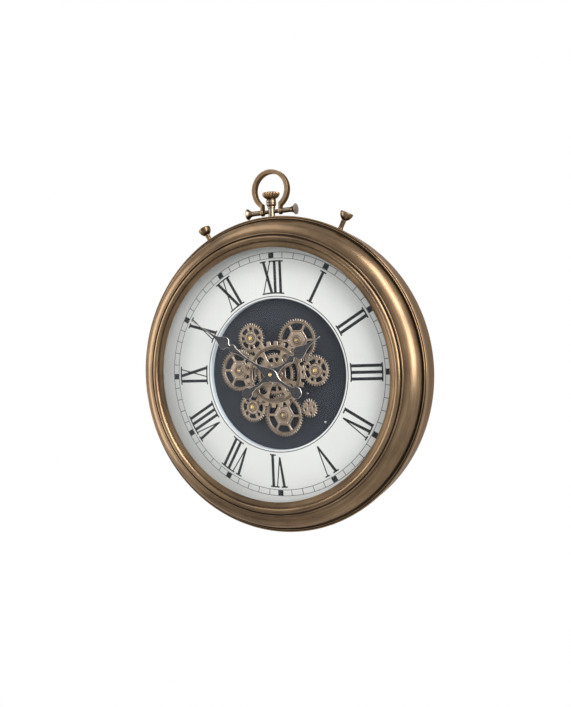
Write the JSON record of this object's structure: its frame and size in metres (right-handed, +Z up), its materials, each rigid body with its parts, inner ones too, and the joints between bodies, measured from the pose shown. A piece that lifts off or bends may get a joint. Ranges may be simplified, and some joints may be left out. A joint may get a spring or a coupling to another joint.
{
  "type": "wall clock",
  "caption": "Round wall clock shaped like a pocket watch: moulded metal rim, crown with swinging bow, white dial ring with Roman numerals and an open wheel train behind the hands.",
  "frame": {"origin": "on the wall plane, at the top of the case's rear flange, on the clock's centre line", "axes": "+Z up, front facing -Y, +X to the right of someone who looks at the dial; the wall is the plane y = 0"},
  "size_m": [0.6, 0.0873, 0.6915],
  "materials": {
    "bronze": "antique brushed",
    "gear": "matt bronze",
    "pin": "satin",
    "hand": "satin with bronze edges",
    "dial": "printed white lacquer",
    "dark_board": "matt",
    "glass": "clear",
    "retainer": "matt",
    "board": "raw hardboard",
    "plastic": "matt",
    "cell": "plain wrap",
    "steel": "zinc plated"
  },
  "bodies": {
    "case": {"case_drum": "bronze", "rear_flange": "bronze", "bezel": "bronze", "glass": "glass", "glass_retainer": "retainer", "chapter_ring": "dial", "disc_board": "dark_board", "back_cover": "board", "centre_bush": "pin", "bush_collar": "pin", "post_left": "pin", "post_upper_right": "pin", "post_upper_left": "pin", "post_right": "pin", "post_lower_left": "pin", "post_lower_right": "gear", "movement_case": "plastic", "movement_cell": "cell", "drive_case": "plastic", "drive_cell": "cell", "hanger_plate": "steel", "standoff_1": "steel", "standoff_2": "steel", "standoff_3": "steel", "standoff_4": "steel", "cover_screw_1": "steel", "cover_screw_2": "steel", "cover_screw_3": "steel", "cover_screw_4": "steel", "crown_stem": "bronze", "crown": "bronze", "cross_bar": "bronze", "bar_knob_right": "bronze", "bar_knob_left": "bronze", "pusher_stem_left": "bronze", "pusher_cap_left": "bronze", "pusher_stem_right": "bronze", "pusher_cap_right": "bronze"},
    "train": {"sun_gear": "gear", "front_wheel": "gear", "hub_cup": "gear"},
    "wheel_left": {"gear_left": "gear"},
    "wheel_upper_right": {"gear_upper_right": "gear"},
    "wheel_lower": {"gear_lower": "gear", "drive_shaft": "pin"},
    "idler_upper_left": {"gear_upper_left": "gear"},
    "idler_right": {"gear_right": "gear"},
    "idler_lower_left": {"gear_lower_left": "gear"},
    "pinion_lower_right": {"gear_lower_right": "gear"},
    "hour": {"hour_hand": "hand", "hour_tube": "pin"},
    "minute": {"minute_hand": "hand", "minute_arbor": "pin", "hand_nut": "pin"},
    "set_wheel": {"set_knob": "plastic"},
    "drive_slide": {"drive_switch": "plastic"},
    "bow": {"bow_ring": "bronze"}
  },
  "joints": [
    {"name": "train_turn", "type": "hinge", "parent": "case", "child": "train", "pos_m": [0, -0.05, -0.287], "axis": [0, 1, 0], "continuous": true},
    {"name": "left_wheel_turn", "type": "hinge", "parent": "case", "child": "wheel_left", "pos_m": [-0.07897, -0.05, -0.27786], "axis": [0, 1, 0], "continuous": true},
    {"name": "upper_right_wheel_turn", "type": "hinge", "parent": "case", "child": "wheel_upper_right", "pos_m": [0.04851, -0.05, -0.22401], "axis": [0, 1, 0], "continuous": true},
    {"name": "lower_wheel_turn", "type": "hinge", "parent": "case", "child": "wheel_lower", "pos_m": [0.01394, -0.05, -0.36527], "axis": [0, 1, 0], "continuous": true},
    {"name": "upper_left_idler_turn", "type": "hinge", "parent": "case", "child": "idler_upper_left", "pos_m": [-0.05028, -0.05, -0.21632], "axis": [0, 1, 0], "continuous": true},
    {"name": "right_idler_turn", "type": "hinge", "parent": "case", "child": "idler_right", "pos_m": [0.08409, -0.05, -0.28185], "axis": [0, 1, 0], "continuous": true},
    {"name": "lower_left_idler_turn", "type": "hinge", "parent": "case", "child": "idler_lower_left", "pos_m": [-0.05212, -0.05, -0.34953], "axis": [0, 1, 0], "continuous": true},
    {"name": "lower_right_pinion_turn", "type": "hinge", "parent": "case", "child": "pinion_lower_right", "pos_m": [0.06865, -0.05, -0.35193], "axis": [0, 1, 0], "continuous": true},
    {"name": "minute_turn", "type": "hinge", "parent": "case", "child": "minute", "pos_m": [0, -0.072, -0.287], "axis": [0, 1, 0], "continuous": true},
    {"name": "hour_turn", "type": "hinge", "parent": "case", "child": "hour", "pos_m": [0, -0.069, -0.287], "axis": [0, 1, 0], "continuous": true},
    {"name": "set_knob_turn", "type": "hinge", "parent": "case", "child": "set_wheel", "pos_m": [0, -0.016, -0.287], "axis": [0, 1, 0], "continuous": true},
    {"name": "bow_swing", "type": "hinge", "parent": "case", "child": "bow", "pos_m": [0, -0.0386, 0.0242], "axis": [1, 0, 0], "range_deg": [-23, 80]},
    {"name": "drive_switch_slide", "type": "slide", "parent": "case", "child": "drive_slide", "axis": [0, 0, 1], "range_m": [0, 0.004]}
  ],
  "couplings": [
    {"joint": "left_wheel_turn", "follows": "train_turn", "ratio": -1},
    {"joint": "upper_right_wheel_turn", "follows": "train_turn", "ratio": -1},
    {"joint": "lower_wheel_turn", "follows": "train_turn", "ratio": -1},
    {"joint": "upper_left_idler_turn", "follows": "train_turn", "ratio": 1.4118},
    {"joint": "right_idler_turn", "follows": "train_turn", "ratio": 1.4118},
    {"joint": "lower_left_idler_turn", "follows": "train_turn", "ratio": 1.4118},
    {"joint": "lower_right_pinion_turn", "follows": "train_turn", "ratio": 2.4},
    {"joint": "hour_turn", "follows": "minute_turn", "ratio": 0.083333},
    {"joint": "set_knob_turn", "follows": "minute_turn", "ratio": 1}
  ]
}
